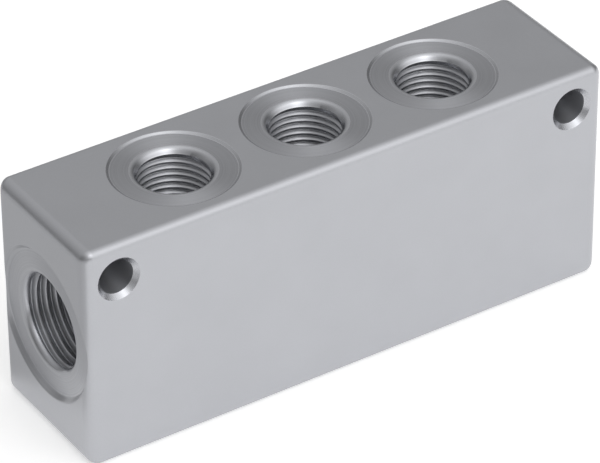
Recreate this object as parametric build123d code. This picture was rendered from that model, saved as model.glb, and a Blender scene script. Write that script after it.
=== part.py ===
from build123d import *
from math import radians, tan
import os

# Distribution block: one bar of aluminium, drilled and tapped. Air comes in at both ends, runs through
# a gallery along the bar and leaves by a row of outlets in the top. All sizes are in millimetres.
# X runs along the bar, Y across it and Z upwards. The origin is under the middle of the bar.

# The bar
block_length = 74.0
block_width = 20.0
block_height = 30.5
end_edge_radius = 1.6
long_edge_radius = 1.05

# Gallery along the bar
gallery_diameter = 10.0

# Inlets in the two end faces, drilled for a G 1/4 thread
inlet_core_diameter = 11.8
inlet_bore_depth = 13.0
inlet_countersink_diameter = 13.5
inlet_spotface_diameter = 18.6
inlet_rim_diameter = 19.7
inlet_spotface_depth = 0.6

# Outlets in the top face, drilled for a G 1/8 thread
outlet_count = 3
outlet_pitch = 18.5
outlet_core_diameter = 8.8
outlet_countersink_diameter = 10.4
outlet_spotface_diameter = 15.6
outlet_rim_diameter = 16.1
outlet_spotface_depth = 0.22

# Mounting holes across the bar, for M4 screws
mounting_hole_diameter = 4.5
mounting_countersink_diameter = 5.7
mounting_hole_end_inset = 4.75
mounting_hole_top_inset = 4.75

# Tools
countersink_angle = 90.0
drill_point_angle = 118.0
cutter_overshoot = 1.0

# Places worked out from the sizes above
end_face_x = block_length / 2
side_face_y = block_width / 2
gallery_height = block_height / 2
mounting_hole_x = end_face_x - mounting_hole_end_inset
mounting_hole_height = block_height - mounting_hole_top_inset
outlet_bore_depth = block_height - gallery_height


def cone_depth(outer_diameter, inner_diameter, included_angle):
    """Depth in which a cone narrows from one diameter to the other."""
    return (outer_diameter - inner_diameter) / 2 / tan(radians(included_angle / 2))


def rounded_bar():
    """Bar standing on Z = 0, with softer edges around its two ends than along its length."""
    bar = Box(block_length, block_width, block_height, align=(Align.CENTER, Align.CENTER, Align.MIN))
    end_edges = bar.edges().filter_by(Axis.Y) + bar.edges().filter_by(Axis.Z)
    bar = fillet(end_edges, end_edge_radius)
    return fillet(bar.edges().filter_by(Axis.X), long_edge_radius)


def port_cutter(
    core_diameter, bore_depth, countersink_diameter, spotface_diameter, rim_diameter, spotface_depth
):
    """All that is cut away at one port, opening towards +Z from a face at Z = 0."""
    core_radius = core_diameter / 2
    mouth_radius = countersink_diameter / 2
    rim_radius = rim_diameter / 2
    countersink_depth = cone_depth(countersink_diameter, core_diameter, countersink_angle)
    point_depth = cone_depth(core_diameter, 0, drill_point_angle)
    section = Polyline(
        (0, cutter_overshoot),
        (rim_radius, cutter_overshoot),
        (rim_radius, 0),
        (spotface_diameter / 2, -spotface_depth),
        (mouth_radius, -spotface_depth),
        (core_radius, -spotface_depth - countersink_depth),
        (core_radius, -bore_depth),
        (0, -bore_depth - point_depth),
        close=True,
    )
    return revolve(Plane.XZ * make_face(section), Axis.Z)


def inlet_cutters():
    """One port cutter in each end face, on the gallery's line."""
    cutter = port_cutter(
        inlet_core_diameter,
        inlet_bore_depth,
        inlet_countersink_diameter,
        inlet_spotface_diameter,
        inlet_rim_diameter,
        inlet_spotface_depth,
    )
    left_end = Pos(-end_face_x, 0, gallery_height) * Rot(0, -90, 0)
    right_end = Pos(end_face_x, 0, gallery_height) * Rot(0, 90, 0)
    return [left_end * cutter, right_end * cutter]


def outlet_cutters():
    """A row of port cutters in the top face, each drilled down to the gallery's middle."""
    cutter = port_cutter(
        outlet_core_diameter,
        outlet_bore_depth,
        outlet_countersink_diameter,
        outlet_spotface_diameter,
        outlet_rim_diameter,
        outlet_spotface_depth,
    )
    row = GridLocations(outlet_pitch, 0, outlet_count, 1)
    return [Pos(0, 0, block_height) * place * cutter for place in row]


def gallery_cutter():
    """Straight hole that joins the two inlets."""
    return Pos(0, 0, gallery_height) * Rot(0, 90, 0) * Cylinder(gallery_diameter / 2, block_length)


def mounting_cutters():
    """Two screw holes through the bar from front to back, countersunk at both faces."""
    hole_radius = mounting_hole_diameter / 2
    mouth_radius = mounting_countersink_diameter / 2
    countersink_depth = cone_depth(mounting_countersink_diameter, mounting_hole_diameter, countersink_angle)
    shaft = Cylinder(hole_radius, block_width + 2 * cutter_overshoot)
    mouth = Cone(hole_radius, mouth_radius, countersink_depth, align=(Align.CENTER, Align.CENTER, Align.MAX))
    cutter = shaft + Pos(0, 0, side_face_y) * mouth + Pos(0, 0, -side_face_y) * Rot(180, 0, 0) * mouth
    across = Pos(0, 0, mounting_hole_height) * Rot(90, 0, 0)
    return [Pos(x, 0, 0) * across * cutter for x in (-mounting_hole_x, mounting_hole_x)]


def manifold_block():
    """The whole block, in one piece."""
    block = rounded_bar() - gallery_cutter()
    for cutter in inlet_cutters() + outlet_cutters() + mounting_cutters():
        block -= cutter
    return block


os.makedirs("parts", exist_ok=True)
export_step(manifold_block(), "parts/manifold_block.step")
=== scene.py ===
"""Looks of a pneumatic distribution block: a bar of satin anodised aluminium with tapped ports."""

from __future__ import annotations

import logging
import math
from dataclasses import dataclass, field
from enum import Enum

import bpy
from mathutils import Matrix, Vector

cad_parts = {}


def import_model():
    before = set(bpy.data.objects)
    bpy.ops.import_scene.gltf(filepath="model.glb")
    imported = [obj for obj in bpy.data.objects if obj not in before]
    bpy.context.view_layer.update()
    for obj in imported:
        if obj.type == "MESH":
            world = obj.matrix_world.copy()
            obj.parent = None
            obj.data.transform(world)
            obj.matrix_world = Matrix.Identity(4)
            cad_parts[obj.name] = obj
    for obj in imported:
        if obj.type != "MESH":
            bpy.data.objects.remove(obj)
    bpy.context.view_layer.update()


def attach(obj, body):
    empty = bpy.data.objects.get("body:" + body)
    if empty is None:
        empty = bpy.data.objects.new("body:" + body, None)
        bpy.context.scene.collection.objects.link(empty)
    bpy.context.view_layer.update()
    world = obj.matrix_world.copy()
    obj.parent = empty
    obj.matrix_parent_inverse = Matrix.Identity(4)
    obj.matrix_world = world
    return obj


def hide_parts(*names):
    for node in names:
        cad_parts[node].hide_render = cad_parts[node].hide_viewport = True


LOG = logging.getLogger("distribution_block")
MILLIMETRE = 0.001
NODE_NAME = "manifold_block"

Point = tuple[float, float]
Point3 = tuple[float, float, float]
Colour = tuple[float, float, float]

# Blender's names for the sockets of the node groups
FLOAT = "NodeSocketFloat"
VECTOR = "NodeSocketVector"
COLOUR = "NodeSocketColor"

# How far the cutters reach beyond what they cut, in millimetres
OVERLAP = 0.3
TOP_OVERSHOOT = 0.8
SIDE_OVERSHOOT = 1
FIRST_FLARE: Point = (0.25, 0.05)
LAST_FLARE: Point = (1.5, 0.6)

# How much a blind bore's drill point narrows, until it lies inside the gallery, in millimetres
POINT_NARROWING = 1.6

# Steps in the arcs of a thread's root, a lip and a rim
ROOT_STEPS = 4
LIP_STEPS = 8
RIM_STEPS = 5

# Shares of the pitch, of a rounding or of a slope that shape the ports
ROOT_ROUNDING = 0.137329
CREST_BEND: Point = (0.3, 0.2)
CROWN_END = 0.15
RIM_FOOT = 0.4

# How a groove runs out, in turns and in shares of its full depth and width
RUN_OUT_DELAY = 0.3
RUN_OUT_TURNS = 1.6
RUN_OUT_START = 0.08
LEAST_DEPTH = 0.04
LEAST_WIDTH = 0.25

# Limits for telling the surfaces apart, the first two in millimetres
TOLERANCE = 0.01
DRILL_POINT_REACH = 1.2
FACING_AXIS = 0.1

# Keeps a division away from zero
TINY = 1e-9


class Surface(Enum):
    """Surfaces that are finished differently, in the order of the mesh's material slots.

    At a port, EDGE is the rim of the spotface and the lip of the bore. At a mounting hole it is the
    countersink.
    """

    SKIN = 0
    OUTLET_FACING = 1
    OUTLET_EDGE = 2
    OUTLET_BORE = 3
    INLET_FACING = 4
    INLET_EDGE = 5
    INLET_BORE = 6
    MOUNTING_EDGE = 7
    MOUNTING_HOLE = 8
    GALLERY = 9


@dataclass
class Shell:
    """A closed mesh while it is being built, in millimetres."""

    points: list[Point3] = field(default_factory=list)
    faces: list[tuple[int, ...]] = field(default_factory=list)

    def add(self, x: float, y: float, z: float) -> int:
        """Adds one point.

        Args:
            x: Its place along X.
            y: Its place along Y.
            z: Its height.

        Returns:
            Its number.
        """
        self.points.append((x, y, z))
        return len(self.points) - 1

    def ring(self, radius: float, height: float, count: int) -> list[int]:
        """Adds a level ring of points around the Z axis.

        Args:
            radius: Radius of the ring.
            height: Its height.
            count: Number of points.

        Returns:
            The points' numbers.
        """
        steps = (math.tau * i / count for i in range(count))
        return [self.add(radius * math.cos(a), radius * math.sin(a), height) for a in steps]

    def band(self, lower: list[int], upper: list[int]) -> None:
        """Joins two rings that have the same number of points.

        Args:
            lower: The lower ring.
            upper: The upper ring.
        """
        count = len(lower)
        for i in range(count):
            j = (i + 1) % count
            self.faces.append((lower[i], lower[j], upper[j], upper[i]))

    def cap(self, ring: list[int], upwards: bool) -> None:
        """Closes a ring with one flat face.

        Args:
            ring: The ring, counterclockwise from above.
            upwards: Whether the face looks up.
        """
        self.faces.append(tuple(ring) if upwards else tuple(reversed(ring)))

    def to_object(self, name: str, place: Matrix) -> bpy.types.Object:
        """Makes the Blender object, with its place written into its vertices.

        Args:
            name: Name of the object.
            place: Where the shell goes, in millimetres.

        Returns:
            The new object, linked to the scene.
        """
        mesh = bpy.data.meshes.new(name)
        mesh.from_pydata([place @ Vector(p) for p in self.points], [], self.faces)
        mesh.update()
        shell = bpy.data.objects.new(name, mesh)
        bpy.context.scene.collection.objects.link(shell)
        return shell


def turned_shell(section: list[Point], count: int) -> Shell:
    """Turns a section around the Z axis.

    Args:
        section: (radius, height) points from the bottom to the top, without those on the axis.
        count: Number of steps around.

    Returns:
        The closed shell.
    """
    shell = Shell()
    rings = [shell.ring(radius, height, count) for radius, height in section]
    shell.cap(rings[0], upwards=False)
    for lower, upper in zip(rings, rings[1:]):
        shell.band(lower, upper)
    shell.cap(rings[-1], upwards=True)
    return shell


def arc(centre: Point, radius: float, start: float, end: float, steps: int) -> list[Point]:
    """Points on a circular arc.

    Args:
        centre: Middle of the arc.
        radius: Radius of the arc.
        start: First angle in degrees.
        end: Last angle in degrees.
        steps: Number of pieces in the arc.

    Returns:
        steps + 1 points, both ends included.
    """
    angles = (math.radians(start + (end - start) * i / steps) for i in range(steps + 1))
    return [(centre[0] + radius * math.cos(a), centre[1] + radius * math.sin(a)) for a in angles]


@dataclass(frozen=True)
class PipeThread:
    """Internal parallel pipe thread with a 55 degree form and rounded roots, in millimetres."""

    major_diameter: float
    bore_diameter: float
    pitch: float
    crest_rounding: float = 0.08
    half_angle: float = 27.5

    def profile(self) -> list[Point]:
        """One pitch of the thread, from the middle of a crest to just before the next one.

        Returns:
            (radius, distance along the axis) points.
        """
        crest = self.bore_diameter / 2
        root = self.major_diameter / 2
        slope = math.tan(math.radians(self.half_angle))
        round_radius = ROOT_ROUNDING * self.pitch
        centre_radius = root - round_radius
        middle = self.pitch / 2
        opening = 90 - self.half_angle
        root_arc = arc((centre_radius, middle), round_radius, -opening, opening, ROOT_STEPS)
        flank_radius, flank_place = root_arc[0]
        edge_place = flank_place - (flank_radius - crest) * slope
        soft = self.crest_rounding
        bend_out, bend_back = CREST_BEND
        before = [
            (crest, 0.0),
            (crest, edge_place - soft),
            (crest + bend_out * soft, edge_place - bend_back * soft),
            (crest + soft, edge_place + soft * slope),
        ]
        after = [(radius, self.pitch - place) for radius, place in reversed(before[1:])]
        return before + root_arc + after


@dataclass(frozen=True)
class Port:
    """A spotfaced and tapped port that opens towards +Z from an outer face at Z = 0."""

    name: str
    surfaces: tuple[Surface, Surface, Surface]
    thread: PipeThread
    spotface_diameter: float
    spotface_depth: float
    rim_diameter: float
    rim_rounding: float
    lip_diameter: float
    lip_rounding: float
    lip_slope: float
    end_depth: float
    thread_start: float
    edge_reach: float
    thread_depth: float | None = None
    drill_point_angle: float = 118.0
    steps: int = 96

    def facing_tool(self, place: Matrix) -> bpy.types.Object:
        """Makes the cutter for the spotface, with its sloping rim and the rounded lip of the bore.

        Args:
            place: Turns and moves the port to its face.

        Returns:
            The cutter.
        """
        floor = -self.spotface_depth
        middle = (self.lip_diameter / 2, floor - self.lip_rounding)
        lip = arc(middle, self.lip_rounding, 90 + self.lip_slope, 90, LIP_STEPS)
        radius, height = lip[0]
        inner = self.thread.bore_diameter / 2 - OVERLAP
        section = [(inner, height - (radius - inner) * math.tan(math.radians(self.lip_slope)))]
        section += lip + self.rim_section(floor)
        section.append((section[-1][0] + LAST_FLARE[0], section[-1][1] + LAST_FLARE[1]))
        return turned_shell(section, self.steps).to_object(f"{self.name}_facing", place)

    def rim_section(self, floor: float) -> list[Point]:
        """The sloping rim of the spotface, softly rounded at its foot and at its top.

        Args:
            floor: Height of the spotface.

        Returns:
            (radius, height) points, from the floor to just above the outer face.
        """
        foot = self.spotface_diameter / 2
        top = self.rim_diameter / 2
        slope = math.degrees(math.atan2(-floor, top - foot))
        soft = self.rim_rounding
        reach = soft * math.tan(math.radians(slope / 2))
        hollow = arc((foot - reach, floor + soft), soft, -90, -90 + slope, RIM_STEPS)
        crown = arc((top + reach, -soft), soft, 90 + slope, 90 + slope * CROWN_END, RIM_STEPS)
        last_radius, last_height = crown[-1]
        return hollow + crown + [(last_radius + FIRST_FLARE[0], last_height + FIRST_FLARE[1])]

    def surface_at(self, radius: float, depth: float) -> Surface:
        """Tells which of the port's surfaces a place belongs to.

        Args:
            radius: Distance of the place from the port's axis.
            depth: Its depth below the outer face.

        Returns:
            The spotface's floor, the rim and lip, or the bore.
        """
        facing, edge, bore = self.surfaces
        floor_edge = self.spotface_diameter / 2 - RIM_FOOT * self.rim_rounding
        if self.lip_diameter / 2 < radius < floor_edge:
            return facing
        return edge if depth < self.thread_start + self.edge_reach else bore

    def tap_tool(self, place: Matrix) -> bpy.types.Object:
        """Makes the cutter for the tapped bore, with its helical thread.

        Args:
            place: Turns and moves the port to its face.

        Returns:
            The cutter.
        """
        thread = self.thread
        profile = thread.profile()
        bottom = -self.end_depth if self.thread_depth is None else -self.thread_depth
        turns = math.ceil((TOP_OVERSHOOT - bottom) / thread.pitch)
        shell = Shell()
        grid = self.thread_grid(shell, profile, bottom, turns)
        self.close_thread_bottom(shell, grid, bottom)
        self.close_thread_top(shell, grid, bottom + (turns + 1) * thread.pitch)
        return shell.to_object(f"{self.name}_tap", place)

    def groove_share(self, turn: float, height: float) -> float:
        """How much of its full depth the groove has.

        Args:
            turn: Number of turns above the thread's lower end.
            height: Height of the place, below zero inside the port.

        Returns:
            A share between almost nothing and 1.
        """
        starting = (-height - self.thread_start) / self.thread.pitch
        ending = 1.0
        if self.thread_depth is not None:
            ending = RUN_OUT_START + max(0.0, turn - RUN_OUT_DELAY) / RUN_OUT_TURNS
        return max(LEAST_DEPTH, min(1.0, starting, ending))

    def thread_grid(
        self, shell: Shell, profile: list[Point], bottom: float, turns: int
    ) -> list[list[int]]:
        """Adds the helical surface, whose last row on one turn is the first row of the next.

        Args:
            shell: Takes the points and faces.
            profile: One pitch of the thread.
            bottom: Height at which the thread starts.
            turns: Number of turns.

        Returns:
            Point numbers by step and by place in the profile. The steps of one more turn hold the
            first row only.
        """
        thread = self.thread
        crest = thread.bore_diameter / 2
        middle = thread.pitch / 2
        last = turns * self.steps
        grid: list[list[int]] = []
        for step in range(last + self.steps + 1):
            angle = math.tau * step / self.steps
            height = bottom + thread.pitch * step / self.steps
            share = self.groove_share(step / self.steps, height + middle)
            spread = LEAST_WIDTH + (1 - LEAST_WIDTH) * share
            rows = profile if step <= last else profile[:1]
            column = []
            for place, (radius, along) in enumerate(rows):
                reach = crest + (radius - crest) * share
                width = along if place == 0 else middle + (along - middle) * spread
                x, y = reach * math.cos(angle), reach * math.sin(angle)
                column.append(shell.add(x, y, height + width))
            grid.append(column)
        for step in range(last):
            here = grid[step] + [grid[step + self.steps][0]]
            there = grid[step + 1] + [grid[step + 1 + self.steps][0]]
            for row in range(len(profile)):
                shell.faces.append((here[row], there[row], there[row + 1], here[row + 1]))
        return grid

    def close_thread_bottom(self, shell: Shell, grid: list[list[int]], bottom: float) -> None:
        """Closes the lower end with a plain bore, and with the drill's point if it is blind.

        Args:
            shell: Takes the points and faces.
            grid: Point numbers of the helical surface.
            bottom: Height at which the thread starts.
        """
        crest = self.thread.bore_diameter / 2
        level = bottom - OVERLAP if self.thread_depth is None else -self.end_depth
        rings = [shell.ring(crest, level, self.steps)]
        if self.thread_depth is not None:
            drop = POINT_NARROWING / math.tan(math.radians(self.drill_point_angle / 2))
            rings.append(shell.ring(crest - POINT_NARROWING, level - drop, self.steps))
        start = [column[0] for column in grid[: self.steps + 1]]
        self.skirt(shell, rings[0], start)
        for upper, lower in zip(rings, rings[1:]):
            shell.band(lower, upper)
        shell.cap(rings[-1], upwards=False)
        shell.faces.append(tuple(grid[0] + [start[-1]]))

    def close_thread_top(self, shell: Shell, grid: list[list[int]], top: float) -> None:
        """Closes the upper end in the open air above the port.

        Args:
            shell: Takes the points and faces.
            grid: Point numbers of the helical surface.
            top: Height at which the last turn ends.
        """
        crest = self.thread.bore_diameter / 2
        ring = shell.ring(crest, top + OVERLAP, self.steps)
        last = len(grid) - 1 - self.steps
        finish = [column[0] for column in grid[last:]]
        for i in range(self.steps):
            following = (i + 1) % self.steps
            face = [finish[i], finish[i + 1], ring[following], ring[i]]
            if i == 0:
                face = [finish[0], finish[1], ring[1], ring[0], finish[-1]]
            shell.faces.append(tuple(face))
        shell.cap(ring, upwards=True)
        shell.faces.append(tuple(reversed(grid[last] + [finish[-1]])))

    def skirt(self, shell: Shell, ring: list[int], helix: list[int]) -> None:
        """Joins a level ring to the first turn of the helix above it.

        Args:
            shell: Takes the faces.
            ring: The level ring.
            helix: The turn's points, one more than the ring's because its end lies above its
                start.
        """
        for i in range(self.steps):
            following = (i + 1) % self.steps
            face = [ring[i], ring[following], helix[i + 1], helix[i]]
            if i == self.steps - 1:
                face = [ring[i], ring[0], helix[0], helix[-1], helix[i]]
            shell.faces.append(tuple(face))


@dataclass(frozen=True)
class RoundedBar:
    """The bar before drilling, standing on Z = 0, with its softer edges around its two ends."""

    length: float = 74.0
    width: float = 20.0
    height: float = 30.5
    end_rounding: float = 1.6
    long_rounding: float = 1.05
    steps: int = 10

    def build(self) -> bpy.types.Object:
        """Makes the bar as rings of points, from the top face down to the base.

        Returns:
            The bar.
        """
        shell = Shell()
        tilts = [90.0 * i / self.steps for i in range(1, self.steps + 1)]
        top = self.face_corners(shell, upper=True)
        rings = [self.ring(shell, tilt, upper=True) for tilt in tilts]
        rings += [self.ring(shell, tilt, upper=False) for tilt in reversed(tilts)]
        base = self.face_corners(shell, upper=False)
        shell.cap(top, upwards=True)
        self.fan(shell, top, rings[0], below=True)
        for above, below in zip(rings, rings[1:]):
            shell.band(below, above)
        self.fan(shell, base, rings[-1], below=False)
        shell.cap(base, upwards=False)
        return shell.to_object("bar", Matrix.Identity(4))

    def corner_point(self, side_x: int, side_y: int, normal: Vector, upper: bool) -> Point3:
        """A point on a rounded corner.

        Args:
            side_x: 1 or -1 for the corner's side along X.
            side_y: 1 or -1 for its side along Y.
            normal: Direction that the surface faces there, with all parts positive.
            upper: Whether the corner is at the top.

        Returns:
            The point.
        """
        soft, crisp = self.end_rounding, self.long_rounding
        lean_y = normal.x**2 / max(normal.x**2 + normal.z**2, TINY)
        lean_z = normal.x**2 / max(normal.x**2 + normal.y**2, TINY)
        inset_x = soft * (1 - normal.x)
        inset_y = (crisp + (soft - crisp) * lean_y) * (1 - normal.y)
        inset_z = (crisp + (soft - crisp) * lean_z) * (1 - normal.z)
        level = self.height - inset_z if upper else inset_z
        return side_x * (self.length / 2 - inset_x), side_y * (self.width / 2 - inset_y), level

    def face_corners(self, shell: Shell, upper: bool) -> list[int]:
        """Adds the four corners of the flat top or base.

        Args:
            shell: Takes the points.
            upper: Whether the corners are those of the top.

        Returns:
            The points' numbers.
        """
        straight = Vector((0, 0, 1))
        sides = ((1, 1), (-1, 1), (-1, -1), (1, -1))
        return [shell.add(*self.corner_point(x, y, straight, upper)) for x, y in sides]

    def ring(self, shell: Shell, tilt: float, upper: bool) -> list[int]:
        """Adds one ring around the bar, at one tilt of the surface from the vertical direction.

        Args:
            shell: Takes the points.
            tilt: Angle between the surface's normal and the Z axis, in degrees.
            upper: Whether the ring belongs to the top.

        Returns:
            The ring's point numbers.
        """
        lean = math.sin(math.radians(tilt))
        rise = math.cos(math.radians(tilt))
        ring = []
        corners = ((1, 1, False), (-1, 1, True), (-1, -1, False), (1, -1, True))
        for side_x, side_y, turn_back in corners:
            for i in range(self.steps + 1):
                share = (self.steps - i if turn_back else i) / self.steps
                turn = math.radians(90 * share)
                normal = Vector((lean * math.cos(turn), lean * math.sin(turn), rise))
                ring.append(shell.add(*self.corner_point(side_x, side_y, normal, upper)))
        return ring

    def fan(self, shell: Shell, corners: list[int], ring: list[int], below: bool) -> None:
        """Joins the four corners of a flat face to the ring next to it.

        Args:
            shell: Takes the faces.
            corners: The face's corners.
            ring: The ring next to it.
            below: Whether the ring lies below the face.
        """
        count = self.steps + 1
        for side, corner in enumerate(corners):
            start = side * count
            following = corners[(side + 1) % 4]
            faces = [(ring[start + i], ring[start + i + 1], corner) for i in range(self.steps)]
            last, after = ring[start + self.steps], ring[(start + count) % len(ring)]
            faces.append((last, after, following, corner))
            shell.faces += faces if below else [tuple(reversed(face)) for face in faces]


def cut(body: bpy.types.Object, tool: bpy.types.Object) -> None:
    """Takes a cutter away from the body and deletes the cutter.

    Args:
        body: The mesh that is cut.
        tool: The closed cutter.
    """
    modifier = body.modifiers.new("cut", "BOOLEAN")
    modifier.operation = "DIFFERENCE"
    modifier.solver = "MANIFOLD"
    modifier.object = tool
    graph = bpy.context.evaluated_depsgraph_get()
    cut_mesh = bpy.data.meshes.new_from_object(body.evaluated_get(graph))
    body.modifiers.remove(modifier)
    old_mesh = body.data
    body.data = cut_mesh
    bpy.data.meshes.remove(old_mesh)
    tool_mesh = tool.data
    bpy.data.objects.remove(tool)
    bpy.data.meshes.remove(tool_mesh)


@dataclass
class ManifoldBlock:
    """The whole block: the bar, its gallery, ports and mounting holes."""

    bar: RoundedBar = field(default_factory=RoundedBar)
    gallery_diameter: float = 10.0
    gallery_height: float = 15.25
    outlet_places: tuple[float, ...] = (-18.5, 0.0, 18.5)
    mounting_diameter: float = 4.5
    mounting_mouth: float = 5.7
    mounting_inset: float = 4.75
    gallery_steps: int = 96
    mounting_steps: int = 64
    sharp_angle: float = 32.0
    shading_weight: int = 50
    outlet: Port = Port(
        name="outlet",
        surfaces=(Surface.OUTLET_FACING, Surface.OUTLET_EDGE, Surface.OUTLET_BORE),
        thread=PipeThread(major_diameter=9.728, bore_diameter=8.8, pitch=0.907),
        spotface_diameter=15.38,
        spotface_depth=0.24,
        rim_diameter=16.02,
        rim_rounding=0.22,
        lip_diameter=10.75,
        lip_rounding=0.85,
        lip_slope=52.0,
        end_depth=15.0,
        thread_start=0.8,
        edge_reach=0.5,
    )
    inlet: Port = Port(
        name="inlet",
        surfaces=(Surface.INLET_FACING, Surface.INLET_EDGE, Surface.INLET_BORE),
        thread=PipeThread(major_diameter=13.157, bore_diameter=11.8, pitch=1.337),
        spotface_diameter=18.6,
        spotface_depth=0.6,
        rim_diameter=19.7,
        rim_rounding=0.3,
        lip_diameter=13.72,
        lip_rounding=0.95,
        lip_slope=80.0,
        end_depth=13.0,
        thread_start=0.8,
        edge_reach=0.9,
        thread_depth=12.4,
    )

    def build(self) -> bpy.types.Object:
        """Cuts the ports and holes into the bar.

        Returns:
            The block, in metres.
        """
        body = self.bar.build()
        for tool in self.tools():
            name = tool.name
            cut(body, tool)
            LOG.info("cut %s: %d faces", name, len(body.data.polygons))
        body.data.transform(Matrix.Scale(MILLIMETRE, 4))
        body.name = "dressed_block"
        body.data.name = "dressed_block"
        return body

    def tools(self) -> list[bpy.types.Object]:
        """Makes all the cutters, each in its place.

        Returns:
            The cutters, in the order in which they are used.
        """
        quarter = math.pi / 2
        span = self.bar.length / 2 - self.inlet.end_depth + OVERLAP
        radius = self.gallery_diameter / 2
        gallery = turned_shell([(radius, -span), (radius, span)], self.gallery_steps)
        lift = Matrix.Translation((0, 0, self.gallery_height))
        tools = [gallery.to_object("gallery", lift @ Matrix.Rotation(quarter, 4, "Y"))]
        for side in (-1, 1):
            end = Matrix.Translation((side * self.bar.length / 2, 0, self.gallery_height))
            place = end @ Matrix.Rotation(side * quarter, 4, "Y")
            tools += [self.inlet.tap_tool(place), self.inlet.facing_tool(place)]
        for x in self.outlet_places:
            place = Matrix.Translation((x, 0, self.bar.height))
            tools += [self.outlet.tap_tool(place), self.outlet.facing_tool(place)]
        for side in (-1, 1):
            tools.append(self.mounting_tool(side * (self.bar.length / 2 - self.mounting_inset)))
        return tools

    def mounting_tool(self, x: float) -> bpy.types.Object:
        """Makes the cutter for one mounting hole, countersunk at both faces.

        Args:
            x: Place of the hole along the block.

        Returns:
            The cutter.
        """
        half = self.bar.width / 2
        hole = self.mounting_diameter / 2
        mouth = self.mounting_mouth / 2
        depth = mouth - hole
        above = (mouth + SIDE_OVERSHOOT, half + SIDE_OVERSHOOT)
        outer = [above, (mouth, half), (hole, half - depth)]
        section = [(radius, -height) for radius, height in outer] + list(reversed(outer))
        place = Matrix.Translation((x, 0, self.bar.height - self.mounting_inset))
        across = Matrix.Rotation(math.pi / 2, 4, "X")
        return turned_shell(section, self.mounting_steps).to_object("mounting", place @ across)

    def surface_of(self, centre: Vector, normal: Vector) -> Surface:
        """Tells which surface a face belongs to.

        Args:
            centre: Middle of the face, in millimetres.
            normal: Its normal.

        Returns:
            The surface.
        """
        end_depth = self.bar.length / 2 - abs(centre.x)
        top_depth = self.bar.height - centre.z
        side_depth = self.bar.width / 2 - abs(centre.y)
        from_screw = math.hypot(end_depth - self.mounting_inset, top_depth - self.mounting_inset)
        if from_screw < self.mounting_mouth / 2 and side_depth > TOLERANCE:
            lip_depth = (self.mounting_mouth - self.mounting_diameter) / 2
            return Surface.MOUNTING_EDGE if side_depth < lip_depth else Surface.MOUNTING_HOLE
        height = centre.z - self.gallery_height
        from_gallery = math.hypot(centre.y, height)
        faces_axis = normal.y * centre.y + normal.z * height < FACING_AXIS * from_gallery
        in_inlet = TOLERANCE < end_depth < self.inlet.end_depth + DRILL_POINT_REACH
        if in_inlet and from_gallery < self.inlet.rim_diameter / 2 and faces_axis:
            return self.inlet.surface_at(from_gallery, end_depth)
        if from_gallery < self.gallery_diameter / 2 + TOLERANCE:
            return Surface.GALLERY
        from_outlet = min(math.hypot(centre.x - x, centre.y) for x in self.outlet_places)
        in_outlet = top_depth > TOLERANCE and centre.z > self.gallery_height
        if in_outlet and from_outlet < self.outlet.rim_diameter / 2:
            return self.outlet.surface_at(from_outlet, top_depth)
        return Surface.SKIN

    def dress(self, body: bpy.types.Object, finishes: dict[Surface, bpy.types.Material]) -> None:
        """Gives each surface its finish and smooths the round ones.

        Args:
            body: The block, in metres.
            finishes: A material for each surface.
        """
        mesh = body.data
        mesh.materials.clear()
        for surface in Surface:
            mesh.materials.append(finishes[surface])
        for polygon in mesh.polygons:
            centre = polygon.center / MILLIMETRE
            polygon.material_index = self.surface_of(centre, polygon.normal).value
        mesh.shade_smooth()
        mesh.set_sharp_from_angle(angle=math.radians(self.sharp_angle))
        weigh = body.modifiers.new("even_shading", "WEIGHTED_NORMAL")
        weigh.mode = "FACE_AREA"
        weigh.weight = self.shading_weight
        weigh.keep_sharp = True


@dataclass(frozen=True)
class Links:
    """A short way to add and join nodes in one tree."""

    tree: bpy.types.NodeTree

    def node(self, kind: str, **settings: object) -> bpy.types.Node:
        """Adds a node.

        Args:
            kind: Blender's name for the node type.
            **settings: Properties to set on it.

        Returns:
            The node.
        """
        made = self.tree.nodes.new(kind)
        for name, value in settings.items():
            setattr(made, name, value)
        return made

    def join(self, source: bpy.types.NodeSocket, target: bpy.types.NodeSocket) -> None:
        """Joins two sockets.

        Args:
            source: An output.
            target: The input that it feeds.
        """
        self.tree.links.new(source, target)

    def math(self, operation: str, *inputs: bpy.types.NodeSocket | float) -> bpy.types.NodeSocket:
        """Adds a Math node.

        Args:
            operation: Blender's name for the operation.
            *inputs: Sockets to join or numbers to set, in order.

        Returns:
            The node's result.
        """
        return self.filled(self.node("ShaderNodeMath", operation=operation), inputs).outputs[0]

    def vector(self, operation: str, *inputs: object) -> bpy.types.Node:
        """Adds a Vector Math node.

        Args:
            operation: Blender's name for the operation.
            *inputs: Sockets to join or values to set, in order.

        Returns:
            The node.
        """
        return self.filled(self.node("ShaderNodeVectorMath", operation=operation), inputs)

    def filled(self, made: bpy.types.Node, inputs: tuple[object, ...]) -> bpy.types.Node:
        """Fills a node's inputs in order with sockets or values.

        Args:
            made: The node.
            inputs: Sockets to join or values to set.

        Returns:
            The same node.
        """
        for socket, value in zip(made.inputs, inputs):
            if isinstance(value, bpy.types.NodeSocket):
                self.join(value, socket)
            else:
                socket.default_value = value
        return made


def new_group(
    name: str, inputs: dict[str, str], outputs: dict[str, str]
) -> tuple[Links, bpy.types.Node, bpy.types.Node]:
    """Starts a shader node group.

    Args:
        name: Name of the group.
        inputs: Socket types by input name.
        outputs: Socket types by output name.

    Returns:
        The new group's links, its input node and its output node.
    """
    group = bpy.data.node_groups.new(name, "ShaderNodeTree")
    for socket, kind in inputs.items():
        group.interface.new_socket(socket, in_out="INPUT", socket_type=kind)
    for socket, kind in outputs.items():
        group.interface.new_socket(socket, in_out="OUTPUT", socket_type=kind)
    links = Links(group)
    return links, links.node("NodeGroupInput"), links.node("NodeGroupOutput")


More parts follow.
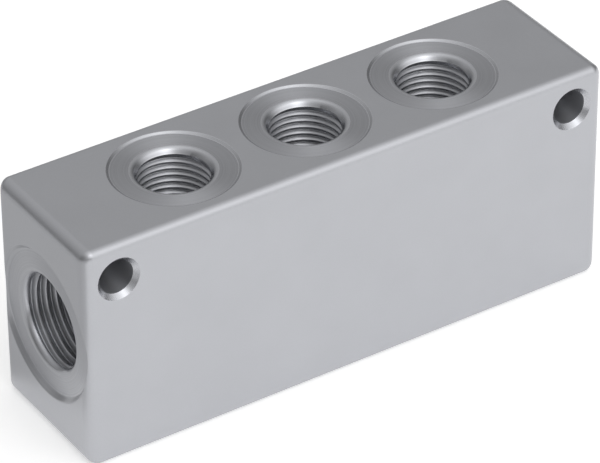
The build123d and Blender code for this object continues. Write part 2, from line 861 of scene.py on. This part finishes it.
@dataclass
class Effects:
    """Effects that more than one finish uses, each a node group that is built once."""

    fine_scale: float = 5200
    broad_scale: float = 160
    grain_detail: float = 3
    ring_scale: float = 0.7
    ring_detail: float = 2
    grain: bpy.types.NodeTree = field(init=False)
    turning: bpy.types.NodeTree = field(init=False)

    def __post_init__(self) -> None:
        """Builds the groups."""
        self.grain = self.build_grain()
        self.turning = self.build_turning()

    def build_grain(self) -> bpy.types.NodeTree:
        """Builds the fine grain of tumbled and anodised metal.

        Returns:
            A group that gives a tint, a roughness and a height.
        """
        links, given, result = new_group(
            "tumbled_grain",
            {
                "Place": VECTOR,
                "Tint": COLOUR,
                "Roughness": FLOAT,
                "Tint Spread": FLOAT,
                "Roughness Spread": FLOAT,
            },
            {"Tint": COLOUR, "Roughness": FLOAT, "Height": FLOAT},
        )
        fine = links.node("ShaderNodeTexNoise", noise_dimensions="3D")
        fine.inputs["Scale"].default_value = self.fine_scale
        fine.inputs["Detail"].default_value = self.grain_detail
        broad = links.node("ShaderNodeTexNoise", noise_dimensions="3D")
        broad.inputs["Scale"].default_value = self.broad_scale
        broad.inputs["Detail"].default_value = self.grain_detail
        for texture in (fine, broad):
            links.join(given.outputs["Place"], texture.inputs["Vector"])
        fine_part = links.math("SUBTRACT", fine.outputs["Fac"], 0.5)
        broad_part = links.math("SUBTRACT", broad.outputs["Fac"], 0.5)
        mixed = links.math("ADD", fine_part, broad_part)
        shade = links.math("MULTIPLY_ADD", mixed, given.outputs["Tint Spread"], 1.0)
        tinted = links.vector("SCALE", given.outputs["Tint"])
        links.join(shade, tinted.inputs["Scale"])
        links.join(tinted.outputs["Vector"], result.inputs["Tint"])
        spread, middle = given.outputs["Roughness Spread"], given.outputs["Roughness"]
        rough = links.math("MULTIPLY_ADD", mixed, spread, middle)
        links.join(rough, result.inputs["Roughness"])
        links.join(fine.outputs["Fac"], result.inputs["Height"])
        return links.tree

    def build_turning(self) -> bpy.types.NodeTree:
        """Builds the rings that a facing tool leaves around a port.

        Returns:
            A group that gives a shade and a height from the distance to the port's axis.
        """
        links, given, result = new_group(
            "turned_rings",
            {"Distance": FLOAT, "Feed": FLOAT, "Shade Spread": FLOAT},
            {"Shade": FLOAT, "Height": FLOAT},
        )
        turns = links.math("DIVIDE", given.outputs["Distance"], given.outputs["Feed"])
        uneven = links.node("ShaderNodeTexNoise", noise_dimensions="1D")
        uneven.inputs["Scale"].default_value = self.ring_scale
        uneven.inputs["Detail"].default_value = self.ring_detail
        links.join(turns, uneven.inputs["W"])
        wave = links.math("SINE", links.math("MULTIPLY", turns, math.tau))
        height = links.math("MULTIPLY_ADD", wave, 0.5, uneven.outputs["Fac"])
        away = links.math("SUBTRACT", uneven.outputs["Fac"], 0.5)
        shade = links.math("MULTIPLY_ADD", away, given.outputs["Shade Spread"], 1.0)
        links.join(shade, result.inputs["Shade"])
        links.join(height, result.inputs["Height"])
        return links.tree


@dataclass(frozen=True)
class SatinFinish:
    """Satin anodised aluminium with a fine grain, without marks that run one way."""

    name: str
    colour: Colour = (0.478, 0.485, 0.510)
    roughness: float = 0.36
    tint_spread: float = 0.08
    roughness_spread: float = 0.06
    grain_height: float = 0.000002
    grain_strength: float = 0.25

    def start(self) -> tuple[bpy.types.Material, Links, bpy.types.Node]:
        """Makes the material with its shader.

        Returns:
            The material, its links and the shader.
        """
        material = bpy.data.materials.new(self.name)
        material.use_nodes = True
        links = Links(material.node_tree)
        shader = material.node_tree.nodes["Principled BSDF"]
        shader.inputs["Metallic"].default_value = 1.0
        return material, links, shader

    def add_grain(self, links: Links, effects: Effects) -> bpy.types.Node:
        """Adds the grain.

        Args:
            links: The material's links.
            effects: The shared effects.

        Returns:
            The group node.
        """
        coordinates = links.node("ShaderNodeTexCoord")
        grain = links.node("ShaderNodeGroup", node_tree=effects.grain)
        links.join(coordinates.outputs["Object"], grain.inputs["Place"])
        grain.inputs["Tint"].default_value = (*self.colour, 1.0)
        grain.inputs["Roughness"].default_value = self.roughness
        grain.inputs["Tint Spread"].default_value = self.tint_spread
        grain.inputs["Roughness Spread"].default_value = self.roughness_spread
        return grain

    def build(self, effects: Effects) -> bpy.types.Material:
        """Makes the material.

        Args:
            effects: The shared effects.

        Returns:
            The material.
        """
        material, links, shader = self.start()
        grain = self.add_grain(links, effects)
        links.join(grain.outputs["Tint"], shader.inputs["Base Color"])
        links.join(grain.outputs["Roughness"], shader.inputs["Roughness"])
        bump = links.node("ShaderNodeBump")
        bump.inputs["Strength"].default_value = self.grain_strength
        bump.inputs["Distance"].default_value = self.grain_height
        links.join(grain.outputs["Height"], bump.inputs["Height"])
        links.join(bump.outputs["Normal"], shader.inputs["Normal"])
        return material


class Axis(Enum):
    """Direction of a hole's axis."""

    X = (1.0, 0.0, 0.0)
    Y = (0.0, 1.0, 0.0)
    Z = (0.0, 0.0, 1.0)


@dataclass(frozen=True)
class TurnedFinish(SatinFinish):
    """The marks of a drill, a countersink or a facing tool, around a row of parallel axes.

    The axes stand at a height, and along X at every whole number of spacings, moved by a shift.
    The rotation turns the spread of the light from along the marks to across them.
    """

    axis: Axis = Axis.Z
    spacing: float = 0.0185
    shift: float = 0.0
    axis_height: float = 0.01525
    feed: float = 0.00012
    shade_spread: float = 0.25
    ring_height: float = 0.000004
    ring_strength: float = 0.3
    anisotropy: float = 0.8
    rotation: float = 0.25

    def from_axis(self, links: Links) -> tuple[bpy.types.NodeSocket, bpy.types.NodeSocket]:
        """Finds the distance from the nearest axis and the direction around it.

        Args:
            links: The material's links.

        Returns:
            The distance and the direction.
        """
        coordinates = links.node("ShaderNodeTexCoord")
        apart = links.node("ShaderNodeSeparateXYZ")
        links.join(coordinates.outputs["Object"], apart.inputs[0])
        spaces = links.math("DIVIDE", apart.outputs["X"], self.spacing)
        share = links.math("SUBTRACT", spaces, self.shift)
        whole = links.math("ADD", links.math("ROUND", share), self.shift)
        nearest = links.node("ShaderNodeCombineXYZ")
        links.join(links.math("MULTIPLY", whole, self.spacing), nearest.inputs["X"])
        nearest.inputs["Z"].default_value = self.axis_height
        away = links.vector("SUBTRACT", coordinates.outputs["Object"], nearest.outputs[0])
        across = [1.0 - part for part in self.axis.value]
        flat = links.vector("MULTIPLY", away.outputs["Vector"], across).outputs["Vector"]
        around = links.vector("CROSS_PRODUCT", self.axis.value, flat).outputs["Vector"]
        distance = links.vector("LENGTH", flat).outputs["Value"]
        return distance, links.vector("NORMALIZE", around).outputs["Vector"]

    def build(self, effects: Effects) -> bpy.types.Material:
        """Makes the material.

        Args:
            effects: The shared effects.

        Returns:
            The material.
        """
        material, links, shader = self.start()
        grain = self.add_grain(links, effects)
        distance, around = self.from_axis(links)
        rings = links.node("ShaderNodeGroup", node_tree=effects.turning)
        links.join(distance, rings.inputs["Distance"])
        rings.inputs["Feed"].default_value = self.feed
        rings.inputs["Shade Spread"].default_value = self.shade_spread
        tinted = links.vector("SCALE", grain.outputs["Tint"])
        links.join(rings.outputs["Shade"], tinted.inputs["Scale"])
        links.join(tinted.outputs["Vector"], shader.inputs["Base Color"])
        links.join(grain.outputs["Roughness"], shader.inputs["Roughness"])
        bump = links.node("ShaderNodeBump")
        bump.inputs["Strength"].default_value = self.ring_strength
        bump.inputs["Distance"].default_value = self.ring_height
        links.join(rings.outputs["Height"], bump.inputs["Height"])
        links.join(bump.outputs["Normal"], shader.inputs["Normal"])
        shader.inputs["Anisotropic"].default_value = self.anisotropy
        shader.inputs["Anisotropic Rotation"].default_value = self.rotation
        links.join(around, shader.inputs["Tangent"])
        return material


@dataclass(frozen=True)
class Glow:
    """One soft patch of light in the room around the block."""

    azimuth: float
    elevation: float
    strength: float
    tightness: float = 3.0

    def direction(self) -> Vector:
        """The direction from the block to the middle of the patch.

        Returns:
            A unit vector.
        """
        turn = math.radians(self.azimuth)
        rise = math.radians(self.elevation)
        flat = math.cos(rise)
        return Vector((math.cos(turn) * flat, math.sin(turn) * flat, math.sin(rise)))


@dataclass
class Studio:
    """The sheets under the block, the soft light around it and the camera."""

    floor_size: float = 6.0
    paper_edge: Point = (-46.7, -2.5)
    paper_azimuth: float = 60.1
    paper_colour: Colour = (0.86, 0.86, 0.86)
    table_colour: Colour = (0.34, 0.34, 0.34)
    paper_part: int = 3
    table_drop: float = 0.3
    sheet_roughness: float = 0.9
    sheet_specular: float = 0.1
    lift: float = 0.39
    glows: tuple[Glow, ...] = (
        Glow(azimuth=0, elevation=90, strength=0.43),
        Glow(azimuth=270, elevation=62, strength=0.66),
        Glow(azimuth=300, elevation=20, strength=1.08),
        Glow(azimuth=60, elevation=20, strength=0.38),
        Glow(azimuth=90, elevation=62, strength=0.21),
        Glow(azimuth=120, elevation=20, strength=0.10),
        Glow(azimuth=180, elevation=20, strength=0.16),
        Glow(azimuth=263, elevation=52, strength=1.35, tightness=30.0),
        Glow(azimuth=129, elevation=27, strength=0.20, tightness=12.0),
        Glow(azimuth=222, elevation=10, strength=0.30, tightness=12.0),
    )
    focal_pixels: float = 4304.972
    image_width: int = 600
    camera_azimuth: float = -32.929
    camera_elevation: float = 34.590
    camera_roll: float = -0.490
    camera_distance: float = 523.032
    camera_slide: Point = (-0.750, -0.767)
    aim_height: float = 15.25
    sensor_width: float = 36.0
    clip_start: float = 0.01
    clip_end: float = 50.0

    def build(self) -> None:
        """Builds the table, the paper, the world that lights the block and the camera."""
        half = self.floor_size / 2
        table = [(-half, -half), (half, -half), (half, half), (-half, half)]
        self.lay("table", table, -self.table_drop * MILLIMETRE, self.table_colour)
        self.lay("paper", self.paper_outline(), 0.0, self.paper_colour)
        self.build_world()
        self.build_camera()

    def paper_outline(self) -> list[Point]:
        """Corners of the white paper, whose left edge lies just outside the picture.

        The floor's size over paper_part is its reach each way along that edge, and across from it.

        Returns:
            The corners in metres, counterclockwise.
        """
        start = Vector(self.paper_edge) * MILLIMETRE
        turn = math.radians(self.paper_azimuth)
        along = Vector((math.cos(turn), math.sin(turn))) * self.floor_size / self.paper_part
        across = Vector((math.sin(turn), -math.cos(turn))) * self.floor_size / self.paper_part
        near, far = start - along, start + along
        return [tuple(corner) for corner in (near, near + across, far + across, far)]

    def lay(self, name: str, outline: list[Point], level: float, colour: Colour) -> None:
        """Lays one flat sheet under the block.

        Args:
            name: Name of the sheet.
            outline: Its corners in metres, counterclockwise.
            level: Its height in metres.
            colour: Its colour.
        """
        mesh = bpy.data.meshes.new(name)
        mesh.from_pydata([(x, y, level) for x, y in outline], [], [tuple(range(len(outline)))])
        sheet = bpy.data.objects.new(name, mesh)
        bpy.context.scene.collection.objects.link(sheet)
        material = bpy.data.materials.new(name)
        material.use_nodes = True
        links = Links(material.node_tree)
        shader = material.node_tree.nodes["Principled BSDF"]
        shader.inputs["Base Color"].default_value = (*colour, 1.0)
        shader.inputs["Roughness"].default_value = self.sheet_roughness
        shader.inputs["Specular IOR Level"].default_value = self.sheet_specular
        rays = links.node("ShaderNodeLightPath").outputs
        seen = links.math("MAXIMUM", rays["Is Camera Ray"], rays["Is Glossy Ray"])
        seen = links.math("MAXIMUM", seen, rays["Is Transmission Ray"])
        shader.inputs["Emission Color"].default_value = (1.0, 1.0, 1.0, 1.0)
        links.join(links.math("MULTIPLY", seen, self.lift), shader.inputs["Emission Strength"])
        mesh.materials.append(material)

    def build_world(self) -> None:
        """Fills the room with the soft patches of light."""
        world = bpy.data.worlds.new("studio")
        bpy.context.scene.world = world
        world.use_nodes = True
        links = Links(world.node_tree)
        background = world.node_tree.nodes["Background"]
        background.inputs["Strength"].default_value = 1.0
        coordinates = links.node("ShaderNodeTexCoord")
        group = self.build_glow()
        total = None
        for glow in self.glows:
            patch = links.node("ShaderNodeGroup", node_tree=group)
            links.join(coordinates.outputs["Generated"], patch.inputs["Direction"])
            patch.inputs["Middle"].default_value = glow.direction()
            patch.inputs["Tightness"].default_value = glow.tightness
            patch.inputs["Strength"].default_value = glow.strength
            light = patch.outputs["Light"]
            total = light if total is None else links.math("ADD", total, light)
        links.join(total, background.inputs["Color"])

    def build_glow(self) -> bpy.types.NodeTree:
        """Builds the group for one patch of light, which fades out evenly around its middle.

        Returns:
            A group that gives the light from one direction.
        """
        links, given, result = new_group(
            "soft_glow",
            {"Direction": VECTOR, "Middle": VECTOR, "Tightness": FLOAT, "Strength": FLOAT},
            {"Light": FLOAT},
        )
        along = links.vector("DOT_PRODUCT", given.outputs["Direction"], given.outputs["Middle"])
        nearness = links.math("MAXIMUM", along.outputs["Value"], 0.0)
        faded = links.math("POWER", nearness, given.outputs["Tightness"])
        links.join(links.math("MULTIPLY", faded, given.outputs["Strength"]), result.inputs["Light"])
        return links.tree

    def build_camera(self) -> None:
        """Places the camera where the photograph was taken from."""
        turn = math.radians(self.camera_azimuth)
        rise = math.radians(self.camera_elevation)
        roll = math.radians(self.camera_roll)
        flat = math.cos(rise)
        back = Vector((math.sin(turn) * flat, -math.cos(turn) * flat, math.sin(rise)))
        level = Vector((0, 0, 1)).cross(back).normalized()
        upright = back.cross(level)
        right = level * math.cos(roll) + upright * math.sin(roll)
        up = upright * math.cos(roll) - level * math.sin(roll)
        aim = Vector((0, 0, self.aim_height))
        slide_right, slide_up = self.camera_slide
        spot = aim + back * self.camera_distance + right * slide_right + up * slide_up
        data = bpy.data.cameras.new("camera")
        data.sensor_fit = "HORIZONTAL"
        data.sensor_width = self.sensor_width
        data.lens = self.focal_pixels * data.sensor_width / self.image_width
        data.clip_start = self.clip_start
        data.clip_end = self.clip_end
        camera = bpy.data.objects.new("camera", data)
        bpy.context.scene.collection.objects.link(camera)
        turned = Matrix((right, up, back)).transposed().to_4x4()
        camera.matrix_world = Matrix.Translation(spot * MILLIMETRE) @ turned
        bpy.context.scene.camera = camera


def build_finishes(effects: Effects) -> dict[Surface, bpy.types.Material]:
    """Makes the finish of each surface.

    Args:
        effects: The shared effects.

    Returns:
        A material for each surface.
    """
    finishes = {
        Surface.SKIN: SatinFinish("satin_skin"),
        # The colour is darker than the skin's: painted shade on the recessed spotface floor, which
        # looks darker in this light
        Surface.OUTLET_FACING: TurnedFinish(
            "outlet_spotface", colour=(0.430, 0.436, 0.459), roughness=0.42, anisotropy=0.85
        ),
        Surface.OUTLET_EDGE: TurnedFinish("outlet_edge", roughness=0.22, anisotropy=0.6),
        Surface.OUTLET_BORE: TurnedFinish("outlet_bore", roughness=0.36, anisotropy=0.6),
        Surface.INLET_FACING: TurnedFinish("inlet_spotface", roughness=0.4, axis=Axis.X),
        Surface.INLET_EDGE: TurnedFinish("inlet_edge", roughness=0.3, anisotropy=0.6, axis=Axis.X),
        Surface.INLET_BORE: TurnedFinish("inlet_bore", roughness=0.36, anisotropy=0.6, axis=Axis.X),
        Surface.MOUNTING_EDGE: SatinFinish("mounting_edge", roughness=0.27),
        Surface.MOUNTING_HOLE: TurnedFinish(
            "mounting_hole",
            roughness=0.42,
            axis=Axis.Y,
            spacing=0.0645,
            shift=0.5,
            axis_height=0.02575,
        ),
        Surface.GALLERY: SatinFinish("drilled_gallery", roughness=0.45),
    }
    return {surface: finish.build(effects) for surface, finish in finishes.items()}


def main() -> None:
    """Builds the dressed block and the studio around it."""
    logging.basicConfig(level=logging.INFO, format="%(name)s: %(message)s")
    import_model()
    finishes = build_finishes(Effects())
    block = ManifoldBlock()
    body = block.build()
    block.dress(body, finishes)
    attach(body, "root")
    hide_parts(NODE_NAME)
    LOG.info("%s: %d faces", body.name, len(body.data.polygons))
    Studio().build()
    bpy.context.scene.view_settings.view_transform = "Standard"


if __name__ == "__main__":
    main()
